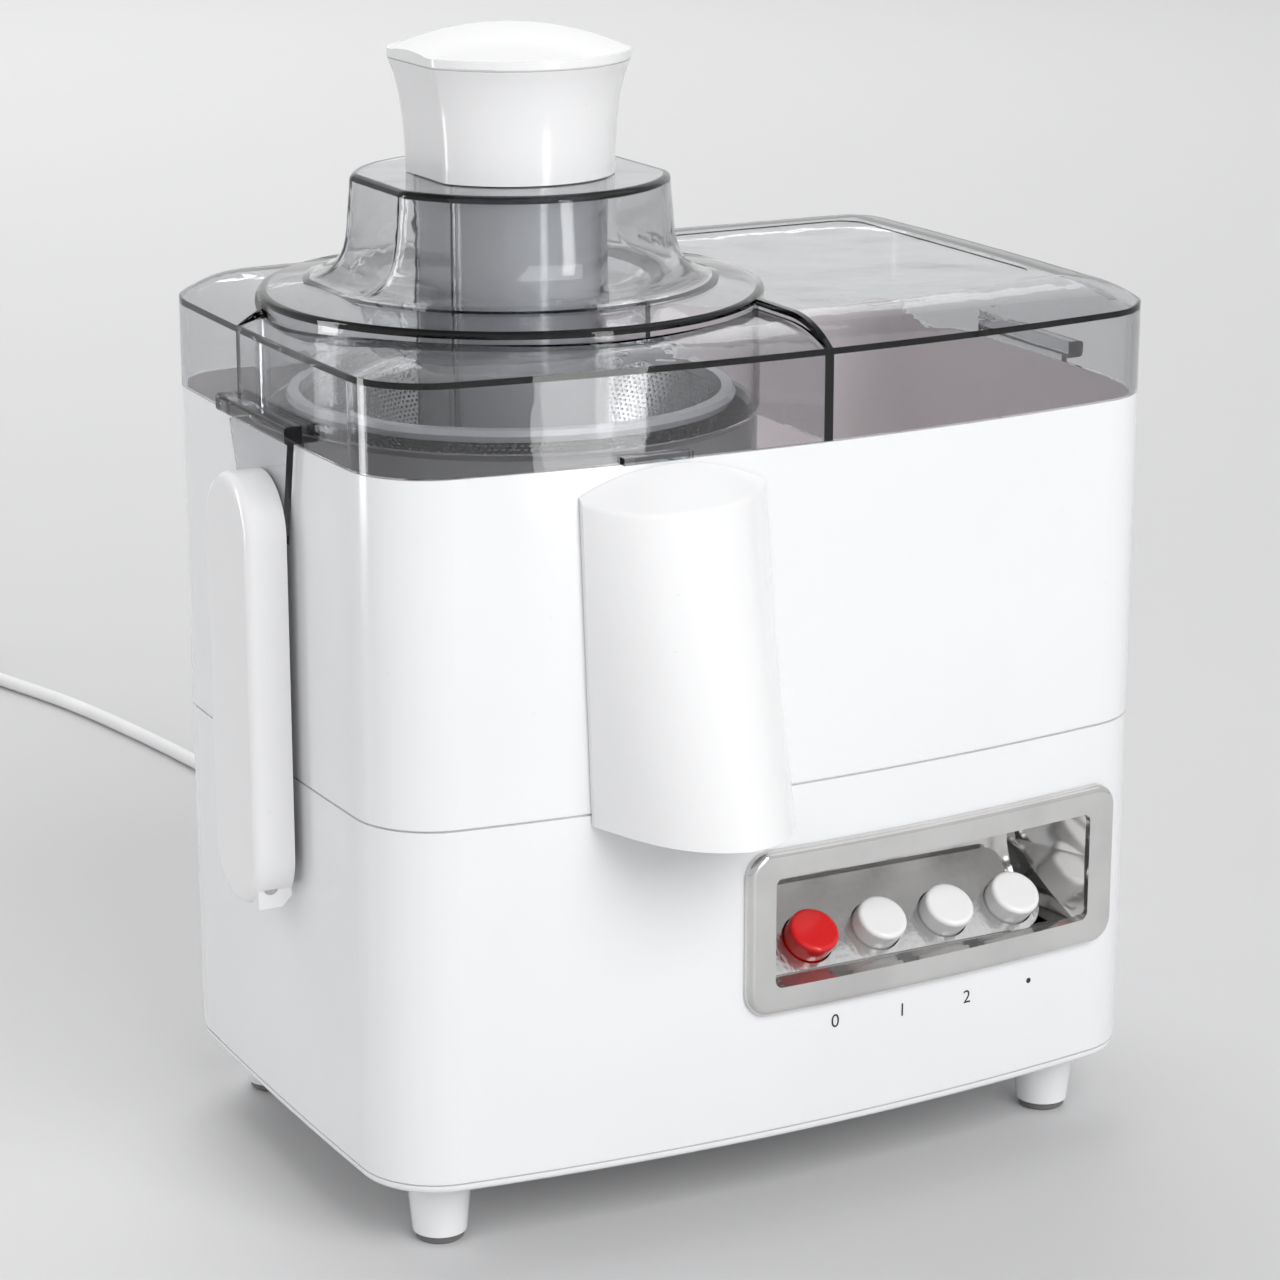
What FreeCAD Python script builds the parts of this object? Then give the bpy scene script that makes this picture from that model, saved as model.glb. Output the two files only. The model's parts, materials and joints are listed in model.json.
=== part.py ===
import FreeCAD
import Part
import math
import os
from FreeCAD import Vector as V

# Centrifugal juicer, in millimetres, +Z up. The casing is drawn about its own plan centre, and every
# shape is moved back by CASING_Y when it is written, so that the origin is under the middle of the whole.
CASING_Y = 27.0
Z_AXIS = V(0, 0, 1)

# casing plan: four bowed sides with round corners
CORNER_X, FRONT_Y, BACK_Y = 148.0, -95.4, 95.4
SIDE_BOW, FRONT_BOW, BACK_BOW = 2.0, 12.6, 2.6
CORNER_R = 28.0
WALL = 2.6

# heights
FOOT_H, COVER_LOW, BASE_LOW, DECK, BIN_TOP = 3.0, 26.0, 29.4, 152.2, 268.7
LID_LOW, LID_CREASE, LID_TOP, FLANGE = 269.0, 300.0, 308.3, 347.4

# spinner axis, and the round chamber over it
AXIS_X = -56.0
CHAMBER_R, CHAMBER_T = 86.5, 3.4
STEP_X, STEP_Y = 5.8, 16.5            # where the lowered corner of the lid ends
SHAFT_R = 4.0

# control panel
TRAY_X0, TRAY_X1, TRAY_Z0, TRAY_Z1 = -13.0, 119.0, 82.0, 121.5
BEZEL_X0, BEZEL_X1, BEZEL_Z0, BEZEL_Z1 = -23.5, 131.0, 72.0, 131.0
BEZEL_PROUD = 3.2
TRAY_DEPTH = 39.0
PLATE_TILT = 45.0                     # degrees that the button plate leans back
PLATE_FOOT = V(0, -96.3, 80.4)
PLATE_TOP = 103.6
HOLE_UP = 11.0                        # from the plate's foot up to the middle of each hole
BUTTON_X = [12.6, 40.1, 67.6, 95.1]
BUTTON_NAMES = ["button_off", "button_1", "button_2", "button_pulse"]
BUTTON_R, BUTTON_OUT = 9.0, 9.0

# spout
SPOUT_X, SPOUT_LOW, SPOUT_TOP, SPOUT_WALL = -43.0, 149.0, 268.3, 2.4
SPOUT_FOOT_X, SPOUT_RUN = -44.0, 106.0

# side clamps
CLAMP_Y, CLAMP_R, CLAMP_LOW, CLAMP_TOP = -10.0, 19.5, 107.0, 257.0
CLAMP_IN, CLAMP_OUT = 153.0, 167.0
PIN_X, PIN_Z, PIN_R = 160.5, 116.0, 2.5
LUG_HALF = 5.0

BAND = 24.0                           # how far the rounded band reaches in from the lid's crease
DOME_LOW, DOME_TOP = 309.0, 314.5
CORNER_RISE = 5.2                     # how far the lid's low corner rises over its crease

FOOT_X, FOOT_Y = 122.0, 74.0

# cord: where it runs, about the casing's plan centre
CORD_D = 6.5
CORD_EXIT = V(-20, 123, 45)
CORD_ROUTE = [CORD_EXIT, V(-20, 150, 45), V(-21, 181, 31), V(-22, 215, 9), V(-19, 262, 3.4),
              V(-8, 322, 3.4), V(-3, 386, 3.4), V(-9, 449, 3.4), V(-18, 507, 3.4),
              V(-29, 563, 3.4), V(-45, 612, 3.4), V(-61, 650, 3.4)]
COIL_X, COIL_Y, COIL_R = -97.0, 645.0, 36.0
COIL_THICK, COIL_H = 14.0, 13.2


def box(x0, y0, z0, x1, y1, z1):
    return Part.makeBox(x1 - x0, y1 - y0, z1 - z0, V(x0, y0, z0))


def rod(r, z0, z1, x=AXIS_X, y=0.0):
    return Part.makeCylinder(r, z1 - z0, V(x, y, z0))


def tube(ro, ri, z0, z1, x=AXIS_X, y=0.0):
    return rod(ro, z0, z1, x, y).cut(rod(ri, z0 - 1, z1 + 1, x, y))


def turned(profile, x=AXIS_X, y=0.0):
    # a solid turned about a vertical axis from (radius, height) points
    points = [V(r, 0, z) for r, z in profile]
    face = Part.Face(Part.makePolygon(points + points[:1]))
    solid = face.revolve(V(0, 0, 0), Z_AXIS, 360)
    solid.translate(V(x, y, 0))
    return solid


def fused(shapes):
    whole = shapes[0]
    if len(shapes) > 1:
        whole = whole.fuse(shapes[1:])
    return whole.removeSplitter()


def upright(solid):
    # the straight vertical edges of a prism
    return [e for e in solid.Edges if len(e.Vertexes) == 2
            and abs(e.Vertexes[0].X - e.Vertexes[1].X) < 1e-6
            and abs(e.Vertexes[0].Y - e.Vertexes[1].Y) < 1e-6]


def casing_block(inset, low, high):
    # the casing's plan, drawn in from its outside by inset
    x, front, back = CORNER_X - inset, FRONT_Y + inset, BACK_Y - inset
    a, b, c, d = V(-x, front, low), V(x, front, low), V(x, back, low), V(-x, back, low)
    middle = 0.5 * (front + back)
    sides = [Part.Arc(a, V(0, front - FRONT_BOW, low), b), Part.Arc(b, V(x + SIDE_BOW, middle, low), c),
             Part.Arc(c, V(0, back + BACK_BOW, low), d), Part.Arc(d, V(-x - SIDE_BOW, middle, low), a)]
    block = Part.Face(Part.Wire([s.toShape() for s in sides])).extrude(V(0, 0, high - low))
    return block.makeFillet(CORNER_R - inset, upright(block))


def rim_edges(solid, height):
    # the edges all round a flat top or bottom at this height
    return [e for e in solid.Edges if all(abs(v.Z - height) < 1e-4 for v in e.Vertexes)
            and abs(e.BoundBox.ZMax - e.BoundBox.ZMin) < 1e-4]


def shell_block(low, high, floor_low, floor_high, inset=0.0):
    # bowed shell with a flat floor or deck
    outer = casing_block(inset, low, high)
    inner = casing_block(inset + WALL, low - 1, high + 1)
    plate = casing_block(inset + 0.5 * WALL, floor_low, floor_high)
    return fused([outer.cut(inner), plate])


def flat_sided(r, half, z, corner=7.0):
    # a circle cut flat at x = -half and x = half, with its four corners rounded
    reach = math.sqrt((r - corner) ** 2 - (half - corner) ** 2)
    turn = math.atan2(reach, half - corner)
    mid = 0.5 * turn
    on = V(r * math.cos(turn), r * math.sin(turn), z)
    bend = V(half - corner + corner * math.cos(mid), reach + corner * math.sin(mid), z)
    flat = V(half, reach, z)

    def at(p, sx, sy):
        return V(AXIS_X + sx * p.x, sy * p.y, z)

    edges = [Part.LineSegment(at(flat, 1, -1), at(flat, 1, 1)),
             Part.Arc(at(flat, 1, 1), at(bend, 1, 1), at(on, 1, 1)),
             Part.Arc(at(on, 1, 1), V(AXIS_X, r, z), at(on, -1, 1)),
             Part.Arc(at(on, -1, 1), at(bend, -1, 1), at(flat, -1, 1)),
             Part.LineSegment(at(flat, -1, 1), at(flat, -1, -1)),
             Part.Arc(at(flat, -1, -1), at(bend, -1, -1), at(on, -1, -1)),
             Part.Arc(at(on, -1, -1), V(AXIS_X, -r, z), at(on, 1, -1)),
             Part.Arc(at(on, 1, -1), at(bend, 1, -1), at(flat, 1, -1))]
    return Part.Wire([e.toShape() for e in edges])


def flat_sided_loft(sections, corner=7.0):
    # sections: (height, radius, half width)
    return Part.makeLoft([flat_sided(r, h, z, corner) for z, r, h in sections], True, False)


def flat_sided_prism(r, half, low, high, corner=7.0):
    return Part.Face(flat_sided(r, half, low, corner)).extrude(V(0, 0, high - low))


def mirrored(shape):
    return shape.mirror(V(0, 0, 0), V(1, 0, 0))


def save(name, shape):
    shape = shape.copy()
    shape.translate(V(0, CASING_Y, 0))
    solids = shape.Solids
    out = solids[0] if len(solids) == 1 else Part.makeCompound(solids)
    out.exportStep(f"parts/{name}.step")
    b = out.BoundBox
    print(f"{name:20s} solids {len(solids):2d} valid {out.isValid()} volume {out.Volume / 1000:8.2f} cm3"
          f"  x {b.XMin:7.1f} {b.XMax:7.1f} y {b.YMin:7.1f} {b.YMax:7.1f} z {b.ZMin:6.1f} {b.ZMax:6.1f}")


# ---- base -------------------------------------------------------------------------------------

SCREW_SPOTS = [(x, y) for x in (-128.0, 128.0) for y in (-40.0, 40.0)]
MOTOR_SPOTS = [(AXIS_X + x, y) for x in (-34.0, 34.0) for y in (-34.0, 34.0)]
VENTS = [(x, y) for x in (-92, -80, -68, -56, -44, -32, -20) for y in (-22.0, 22.0)]


def tilted(shape, x, along=0.0):
    # moves a shape drawn along +Z so that it stands square to the button plate, along mm off its face
    shape = shape.copy()
    shape.rotate(V(0, 0, 0), V(1, 0, 0), 90.0 - PLATE_TILT)
    lean = math.radians(PLATE_TILT)
    hole = V(x, PLATE_FOOT.y + HOLE_UP * math.sin(lean), PLATE_FOOT.z + HOLE_UP * math.cos(lean))
    shape.translate(hole + V(0, -math.cos(lean), math.sin(lean)) * along)
    return shape


def bezel_plan(grow, y0, y1, x0, x1, z0, z1, corner):
    block = box(x0 - grow, y0, z0 - grow, x1 + grow, y1, z1 + grow)
    along = [e for e in block.Edges if abs(e.Vertexes[0].Y - e.Vertexes[1].Y) > 1]
    return block.makeFillet(corner, along)


def panel_hole(grow):
    return bezel_plan(grow, -130, -60, TRAY_X0, TRAY_X1, TRAY_Z0, TRAY_Z1, 3.0 + grow)


def base_housing():
    shell = shell_block(BASE_LOW, DECK, DECK - WALL, DECK)
    tower = tube(24.0, 20.0, DECK - WALL, 192.0).fuse(rod(24.0, 192.0, 196.0))
    bosses = [tube(5.0, 2.0, BASE_LOW + 3, DECK - WALL, x, y) for x, y in SCREW_SPOTS]
    hangers = [tube(5.5, 2.0, 124.0, DECK - WALL, x, y) for x, y in MOTOR_SPOTS]
    lug = fused([box(-PIN_X, CLAMP_Y - LUG_HALF, PIN_Z - 3.7, -148.0, CLAMP_Y + LUG_HALF, PIN_Z + 3.7),
                 Part.makeCylinder(3.7, 2 * LUG_HALF, V(-PIN_X, CLAMP_Y - LUG_HALF, PIN_Z), V(0, 1, 0))])
    lugs = [lug, mirrored(lug)]
    whole = fused([shell, tower] + bosses + hangers + lugs)
    whole = whole.cut([rod(9.0, 140, 200), panel_hole(4.0),
                       Part.makeCylinder(6.6, 20, V(CORD_EXIT.x, 85, CORD_EXIT.z), V(0, 1, 0))]
                      + [pin_rod(side, PIN_R) for side in (-1, 1)])
    return whole


def pin_rod(side, r):
    return Part.makeCylinder(r, 32, V(side * PIN_X, CLAMP_Y - 16, PIN_Z), V(0, 1, 0))


def bottom_cover():
    plate = fused([casing_block(0, COVER_LOW, COVER_LOW + 2.8), casing_block(1.0, COVER_LOW + 2, BASE_LOW),
                   casing_block(WALL + 0.3, BASE_LOW - 1, 33.0).cut(casing_block(WALL + 2.3, 20, 40))])
    edges = rim_edges(plate, COVER_LOW)
    plate = plate.makeFillet(2.0, edges)
    legs = [Part.makeCone(9.3, 11.5, COVER_LOW - FOOT_H, V(x, y, FOOT_H))
            for x in (-FOOT_X, FOOT_X) for y in (-FOOT_Y, FOOT_Y)]
    pegs = [rod(5.1, FOOT_H - 1, 8.1, x, y) for x in (-FOOT_X, FOOT_X) for y in (-FOOT_Y, FOOT_Y)]
    plate = plate.fuse(legs).cut(pegs)
    cups = [rod(2.1, 20, 40, x, y) for x, y in SCREW_SPOTS]
    cups += [rod(4.4, 20, 27.4, x, y) for x, y in SCREW_SPOTS]
    slots = [box(x - 2, y - 14, 20, x + 2, y + 14, 35) for x, y in VENTS]
    return plate.cut(cups + slots).removeSplitter()


def foot_pads():
    profile = [(0, 0), (7.5, 0), (8.3, 0.8), (8.3, FOOT_H), (5.0, FOOT_H), (5.0, 8.0), (0, 8.0)]
    return Part.makeCompound([turned(profile, x, y) for x in (-FOOT_X, FOOT_X) for y in (-FOOT_Y, FOOT_Y)])


def screws(spots, head_low, head_high, tip, head_r=4.0, shank_r=1.9):
    # round heads below, each with a cross slot
    made = []
    for x, y in spots:
        head = rod(head_r, head_low, head_high, x, y)
        slot = [box(x - 2.4, y - 0.5, head_low - 1, x + 2.4, y + 0.5, head_low + 0.9),
                box(x - 0.5, y - 2.4, head_low - 1, x + 0.5, y + 2.4, head_low + 0.9)]
        made.append(head.cut(slot).fuse(rod(shank_r, head_high, tip, x, y)))
    return Part.makeCompound(made)


def control_bezel():
    # chrome frame that follows the front's bow, with the tray behind it
    band = casing_block(-BEZEL_PROUD, 60, 140).cut(casing_block(-0.1, 59, 141))
    ring = bezel_plan(0, -130, -70, BEZEL_X0, BEZEL_X1, BEZEL_Z0, BEZEL_Z1, 9.0)
    ring = ring.common(band)
    front = [e for e in ring.Edges if e.BoundBox.YMin < -90 and on_skin(e, -BEZEL_PROUD)]
    ring = ring.makeFillet(2.6, front)
    back = -FRONT_BOW + FRONT_Y + TRAY_DEPTH
    sleeve = bezel_plan(2.4, -104, back, TRAY_X0, TRAY_X1, TRAY_Z0, TRAY_Z1, 5.4)
    sleeve = sleeve.common(casing_block(-0.1, 60, 140))
    tray = bezel_plan(0.4, -130, back - 2.0, TRAY_X0, TRAY_X1, TRAY_Z0 - 1.6, TRAY_Z1 + 1.0, 3.0)
    mouth = bezel_plan(0, -130, -90, TRAY_X0, TRAY_X1, TRAY_Z0, TRAY_Z1, 3.0)
    tray = tray.common(casing_block(0.8, 60, 140))
    whole = fused([ring, sleeve]).cut([tray, mouth])
    wedge = end_wedge(back - 2.0)
    whole = fused([whole, wedge])
    return whole.cut(tilted(box(-4, -10.8, -30, 109, 10.8, -1.7), 0))


def on_skin(edge, inset):
    # whether an edge lies on the casing's front grown by -inset
    front = FRONT_Y - FRONT_BOW + inset
    radius = (CORNER_X ** 2 + FRONT_BOW ** 2) / (2 * FRONT_BOW)
    for v in edge.Vertexes:
        y = front + radius - math.sqrt(radius ** 2 - v.X ** 2)
        if abs(v.Y - y) > 0.25:
            return False
    return True


def end_wedge(back):
    # the tray's right end: a curved ridge runs down from its back to the lower front corner
    sections = []
    for z, x, y in ((TRAY_Z1 + 1.2, 104.5, -71.2), (105.0, 107.7, -73.5), (97.0, 109.5, -80.0),
                    (89.0, 112.5, -89.0), (TRAY_Z0 - 1.8, 116.8, -99.5)):
        far = TRAY_X1 + 1.0
        points = [V(x, y, z), V(far, -103.0, z), V(far, back + 1, z), V(x - 3.0, back + 1, z)]
        sections.append(Part.makePolygon(points + points[:1]))
    return Part.makeLoft(sections, True, True)


def button_plate(bezel):
    # leans back in the tray, with a lobe round the last hole
    lean = math.radians(PLATE_TILT)
    rise = (PLATE_TOP - PLATE_FOOT.z) / math.cos(lean)
    plate = box(TRAY_X0 + 0.1, 0, -1.6, 99.0, rise, 0)
    corner = [e for e in plate.Edges if abs(e.Vertexes[0].Z - e.Vertexes[1].Z) > 1
              and e.Vertexes[0].X > 80 and e.Vertexes[0].Y > 10]
    plate = plate.makeFillet(5.0, corner)
    plate.rotate(V(0, 0, 0), V(1, 0, 0), 90.0 - PLATE_TILT)
    plate.translate(PLATE_FOOT)
    plate = plate.fuse(tilted(rod(BUTTON_R + 3.0, -1.6, 0, 0, 0), BUTTON_X[-1]))
    holes = [tilted(rod(BUTTON_R + 0.5, -10, 10, 0, 0), x) for x in BUTTON_X]
    plate = plate.cut(holes + [bezel]).removeSplitter()
    return max(plate.Solids, key=lambda part: part.Volume)


def button(x):
    # a cap cut on the slant, on a square stem
    cap = rod(BUTTON_R, -3.0, BUTTON_OUT, 0, 0)
    knife = box(-20, -20, 0, 20, 20, 20)
    knife.rotate(V(0, 0, 0), V(1, 0, 0), -9.0)
    knife.translate(V(0, 0, BUTTON_OUT - 1.5))
    cap = cap.cut(knife)
    top = [e for e in cap.Edges if e.BoundBox.ZMin > 1.0 and len(e.Vertexes) == 1
           or e.BoundBox.ZMin > 1.0 and e.Length > 20]
    cap = cap.makeFillet(1.6, top)
    stem = box(-2.5, -2.5, -20, 2.5, 2.5, -3.0)
    return tilted(fused([cap, stem]), x)


def switch_body():
    # one bank behind the plate: four square guides
    bank = box(-2, -9, -28, BUTTON_X[-1] + 12, 9, -12)
    made = tilted(bank, 0)
    cut = []
    for x in BUTTON_X:
        cut.append(tilted(box(-2.8, -2.8, -26, 2.8, 2.8, 0), x))
        cut.append(tilted(rod(6.4, -19, 0, 0, 0), x))
    return made.cut(cut)


def button_springs():
    made = []
    for x in BUTTON_X:
        turns = [Part.makeTorus(4.9, 0.45, V(0, 0, z)) for z in (-17.8, -15.8, -13.8, -11.8, -9.8, -7.8)]
        made += [tilted(t, x) for t in turns]
    return Part.makeCompound(made)


# ---- motor ------------------------------------------------------------------------------------

def motor_parts():
    stack = box(AXIS_X - 37, -32, 66, AXIS_X + 37, 32, 106)
    stack = stack.makeFillet(8, upright(stack)).cut(rod(22.5, 60, 110))
    windows = [box(AXIS_X - 18, y - 6, 60, AXIS_X + 18, y + 6, 110) for y in (-21.0, 21.0)]
    stack = stack.cut([w.cut(rod(25.5, 55, 115)) for w in windows])
    save("stator_core", stack)
    coils = []
    for side in (-1, 1):
        for low, high in ((54.0, 66.0), (106.0, 116.0)):
            near, far = sorted((side * 6.0, side * 40.0))
            half = box(AXIS_X - 24, near, low, AXIS_X + 24, far, high)
            coils.append(tube(31.0, 25.6, low, high).common(half))
    save("field_coils", Part.makeCompound(coils))
    arms = fused([box(AXIS_X - 39, -6, 118, AXIS_X + 39, 6, 124), tube(11.0, 7.05, 118, 134)]
                 + [box(AXIS_X + x - 4, -39, 118, AXIS_X + x + 4, 39, 124) for x in (-34, 34)])
    arms = arms.cut([rod(7.05, 110, 140)] + [rod(2.1, 110, 140, x, y) for x, y in MOTOR_SPOTS])
    posts = [box(AXIS_X + x - 3, y - 3, 106, AXIS_X + x + 3, y + 3, 118)
             for x in (-33, 33) for y in (-20, 20)]
    save("upper_bracket", fused([arms] + posts))
    lower = fused([box(AXIS_X - 38, -5, 40, AXIS_X + 38, 5, 44), tube(10.0, 7.05, 37, 50)])
    lower = lower.cut(rod(7.05, 30, 60))
    legs = [box(AXIS_X + x - 3, -5, 44, AXIS_X + x + 3, 5, 66) for x in (-35, 35)]
    save("lower_bracket", fused([lower] + legs))
    save("upper_bearing", tube(7.0, SHAFT_R + 0.04, 121, 133))
    save("lower_bearing", tube(7.0, SHAFT_R + 0.04, 38, 49))
    holders = []
    for side in (-1, 1):
        a, b = sorted((AXIS_X + side * 13.2, AXIS_X + side * 29.0))
        holders.append(box(a, -5, 107.5, b, 5, 117.9).cut(box(a - 1, -3.1, 109.4, b + 1, 3.1, 115.6)))
    save("brush_holders", Part.makeCompound(holders))
    brushes = []
    for side in (-1, 1):
        a, b = sorted((AXIS_X + side * 12.6, AXIS_X + side * 26.0))
        brushes.append(box(a, -3, 109.5, b, 3, 115.5).cut(rod(12.1, 100, 120)))
    save("carbon_brushes", Part.makeCompound(brushes))
    save("motor_shaft", fused([rod(SHAFT_R, 36, 200), rod(6.0, 60, 64)]))
    slots = [box(AXIS_X + 15, -1.0, 60, AXIS_X + 30, 1.0, 110) for _ in range(12)]
    for i, s in enumerate(slots):
        s.rotate(V(AXIS_X, 0, 0), Z_AXIS, 30 * i + 15)
    save("armature_core", tube(21.9, SHAFT_R, 68, 104).cut(slots))
    save("armature_windings", Part.makeCompound([tube(18.0, 6.2, 61, 68).fuse(tube(20, 15, 62, 68)),
                                                 tube(18.0, SHAFT_R, 104, 106)]))
    save("commutator", tube(12.0, SHAFT_R, 108.5, 117.2))
    fan = fused([tube(8.0, SHAFT_R, 51.0, 57.0), tube(24.0, 7.0, 51.0, 52.4)]
                + [vane(i) for i in range(9)])
    save("cooling_fan", fan)
    save("motor_grommets", Part.makeCompound([tube(5.5, 2.1, 116.5, 118.0, x, y) for x, y in MOTOR_SPOTS]))
    save("motor_screws", screws(MOTOR_SPOTS, 114.0, 116.5, 140.0))
    save("shaft_seal", tube(8.9, SHAFT_R + 0.06, 192.5, 196.8))


def vane(i):
    blade = box(AXIS_X + 7, -0.7, 52.0, AXIS_X + 23.5, 0.7, 56.5)
    blade.rotate(V(AXIS_X, 0, 0), Z_AXIS, 40 * i)
    return blade


# ---- spinner ----------------------------------------------------------------------------------

def spinner_parts():
    coupling = tube(12.5, SHAFT_R, 198.0, 204.0).fuse(rod(12.5, 200.0, 204.0))
    dogs = [wheel_copy(box(AXIS_X + 6.0, -2.2, 204.0, AXIS_X + 11.5, 2.2, 209.0), 60 * i) for i in range(6)]
    save("drive_coupling", fused([coupling] + dogs))
    hub = rod(15.0, 204.2, 233.6)
    pocket = box(AXIS_X + 5.6, -2.6, 203.0, AXIS_X + 11.9, 2.6, 209.4)
    pockets = [wheel_copy(pocket, 60 * i) for i in range(6)]
    hub = fused([hub, rod(22.0, 230.0, 233.6)]).cut(pockets)
    save("basket_hub", hub)
    save("filter_basket", turned([(15.0, 233.6), (55.0, 233.6), (73.6, 271.0), (72.7, 271.0), (54.4, 234.6),
                                  (15.0, 234.6)]))
    save("basket_rim", turned([(71.4, 271.0), (75.4, 271.0), (76.4, 273.2), (75.4, 275.0), (71.4, 275.0)]))
    disc = tube(50.0, 3.0, 234.6, 236.6)
    teeth = []
    for ring, count in ((16, 10), (24, 16), (32, 22), (40, 28), (47, 34)):
        for i in range(count):
            tooth = Part.makeCone(0.9, 0.2, 1.8, V(AXIS_X + ring, 0, 236.2))
            tooth.rotate(V(AXIS_X, 0, 0), Z_AXIS, 360.0 * i / count + 3 * ring)
            teeth.append(tooth)
    save("grater_disc", disc.fuse(teeth))
    save("basket_nut", turned([(0, 233.6), (2.9, 233.6), (2.9, 236.6), (7.5, 236.6), (7.0, 239.0),
                               (4.0, 240.5), (0, 241.0)]))


def wheel_copy(shape, degrees):
    shape = shape.copy()
    shape.rotate(V(AXIS_X, 0, 0), Z_AXIS, degrees)
    return shape


# ---- containers -------------------------------------------------------------------------------

def pulp_container():
    shell = fused([casing_block(0, DECK + 0.8, BIN_TOP).cut(casing_block(WALL, DECK, BIN_TOP + 1)),
                   casing_block(1.2, DECK, DECK + 3.4)])
    sleeve = tube(28.5, 26.0, DECK, 190.0)
    window = box(SPOUT_X - 19, -120, 208.0, SPOUT_X + 19, -96, 240.0)
    return fused([shell, sleeve]).cut([rod(26.0, 150, 200), window])


def juice_bowl():
    # a ring-shaped trough on a round skirt, with a short channel out to the spout
    bowl = turned([(17.0, 205.0), (84.0, 205.0), (84.0, 266.5), (85.6, 268.4), (83.0, 268.4), (81.6, 266.0),
                   (81.6, 207.4), (19.4, 207.4), (19.4, 226.0), (17.0, 226.0)])
    skirt = tube(62.0, 59.8, DECK + 3.4, 206.0)
    channel = box(SPOUT_X - 17, -112, 211.0, SPOUT_X + 17, -70, 236.0)
    hollow = box(SPOUT_X - 15, -113, 213.0, SPOUT_X + 15, -60, 237.0)
    keep = rod(81.6, 200, 300)
    return fused([bowl, skirt, channel.cut(keep)]).cut(hollow)


def spout_wire(z, middle, reach, half, inset=0.0, back=-96.0):
    # plan of the spout at one height: two flared sides and a round nose
    wall = FRONT_Y - FRONT_BOW * (1 - (middle / CORNER_X) ** 2)
    reach, half = reach - inset, half - inset
    nose = V(middle, wall - reach, z)
    knee_x, knee_y = 0.52 * half, wall - 0.80 * reach
    hip_x, hip_y = 0.90 * half, wall - 0.24 * reach
    right = [V(middle + half, back, z), V(middle + half, wall, z), V(middle + hip_x, hip_y, z),
             V(middle + knee_x, knee_y, z)]
    left = [V(2 * middle - p.x, p.y, z) for p in right]
    flank_r = Part.BSplineCurve()
    flank_r.interpolate(right[1:] + [nose] + left[:0:-1])
    edges = [Part.LineSegment(right[0], right[1]).toShape(), flank_r.toShape(),
             Part.LineSegment(left[1], left[0]).toShape(), Part.LineSegment(left[0], right[0]).toShape()]
    return Part.Wire(edges)


def spout_block(inset, low, high):
    # tapers from a deep mouth below to a shallow top that leans left
    wires = []
    for z in (low, 0.5 * (low + high), high):
        share = (z - SPOUT_LOW) / SPOUT_RUN
        middle, reach, half = SPOUT_FOOT_X - 5.2 * share, 45.0 - 27.8 * share, 35.2 - 1.4 * share
        wires.append(spout_wire(z, middle, reach, half, inset))
    return Part.makeLoft(wires, True)


def spout_cap(drop):
    # everything under the spout's sloping, slightly crowned top
    slope, crown = math.radians(36.0), 80.0
    wall = FRONT_Y - FRONT_BOW
    along = V(0, math.cos(slope), math.sin(slope))
    centre = V(SPOUT_FOOT_X - 4.0, wall + 2, SPOUT_TOP - drop - crown / math.cos(slope))
    under = Part.makeCylinder(crown, 300, centre - along * 150, along)
    under.rotate(centre, along, 90)
    return under


def juice_spout():
    outer = spout_block(0, SPOUT_LOW, 285).common(spout_cap(0)).cut(casing_block(-0.35, 140, 300))
    top = [e for e in outer.Edges if e.BoundBox.ZMin > 245 and e.BoundBox.YMin < -115]
    outer = outer.makeFillet(3.0, top)
    inner = spout_block(SPOUT_WALL, SPOUT_LOW - 2, 285).common(spout_cap(SPOUT_WALL))
    inner = inner.cut(casing_block(-2.2, 140, 300))
    window = box(SPOUT_X - 18, -114, 209.5, SPOUT_X + 18, -90, 242)
    return outer.cut([inner, window])


# ---- lid --------------------------------------------------------------------------------------

def domed_block(inset, drop, rise):
    # upright walls up to a crease, then a wide rounded band up to a flat top
    walls = casing_block(inset, LID_LOW - 10 * (inset > 0), LID_CREASE - drop)
    wires = []
    for reach, share in ((0.0, 0.0), (8.0, 0.566), (16.0, 0.88), (BAND, 1.0)):
        height = LID_CREASE - drop + rise * share
        sheet = casing_block(inset + reach, height, height + 1)
        wires.append([f for f in sheet.Faces if abs(f.CenterOfMass.z - height) < 1e-4][0].OuterWire)
    return walls.fuse(Part.makeLoft(wires, True, False))


def dome(r, drop, low):
    # shallow cone over the round chamber
    return turned([(0, low), (r, low), (r, DOME_LOW - drop), (52.0, DOME_TOP - drop), (0, DOME_TOP - drop)])


def collar(grow, top):
    # the outer wall of the feed chute, flaring into the dome
    rows = ((top, 54.4, 50.4), (333.0, 55.4, 51.4), (323.0, 56.8, 53.0), (317.5, 59.6, 56.0),
            (314.0, 64.4, 61.0), (312.0, 71.0, 67.6))
    return flat_sided_loft([(z, r + grow, h + grow) for z, r, h in rows], 9.0)


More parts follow.
